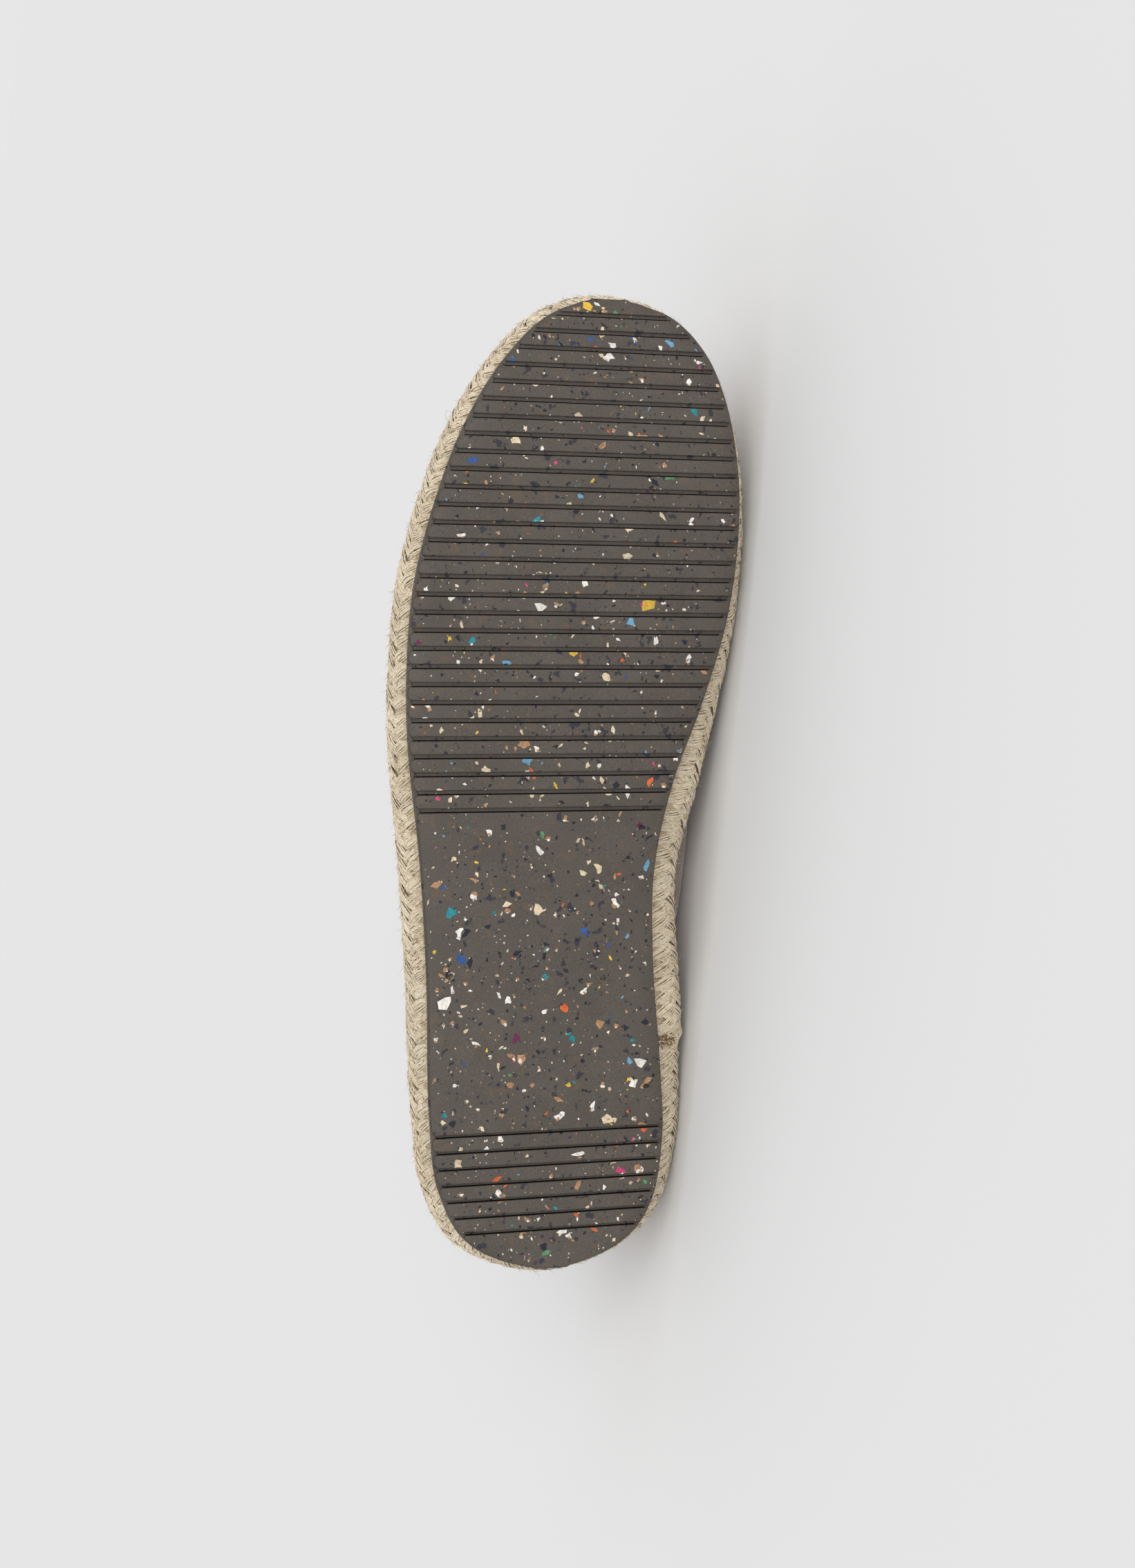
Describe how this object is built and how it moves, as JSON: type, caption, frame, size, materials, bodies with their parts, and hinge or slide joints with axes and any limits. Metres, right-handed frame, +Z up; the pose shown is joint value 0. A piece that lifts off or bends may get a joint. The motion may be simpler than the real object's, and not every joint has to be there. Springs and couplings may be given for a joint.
{
  "type": "espadrille",
  "caption": "Slip-on espadrille for the right foot with a grooved rubber outsole, a jute braid around the sole and a suede upper, lying on its inner side.",
  "frame": {"origin": "middle of the bottom of the box around the shoe as it lies on its inner side", "axes": "+X towards the toe, -Y the way the sole faces, +Z up from the floor, which is towards the outer side of the foot"},
  "size_m": [0.2916, 0.0802, 0.1051],
  "materials": {
    "rubber": "matte speckled recycled rubber",
    "jute": "natural braided jute yarn",
    "suede": "taupe suede with a short nap",
    "sock": "woven cotton sock lining"
  },
  "bodies": {
    "root": {"outsole": "rubber", "midsole": "jute", "upper": "suede", "insole": "sock"}
  },
  "joints": []
}
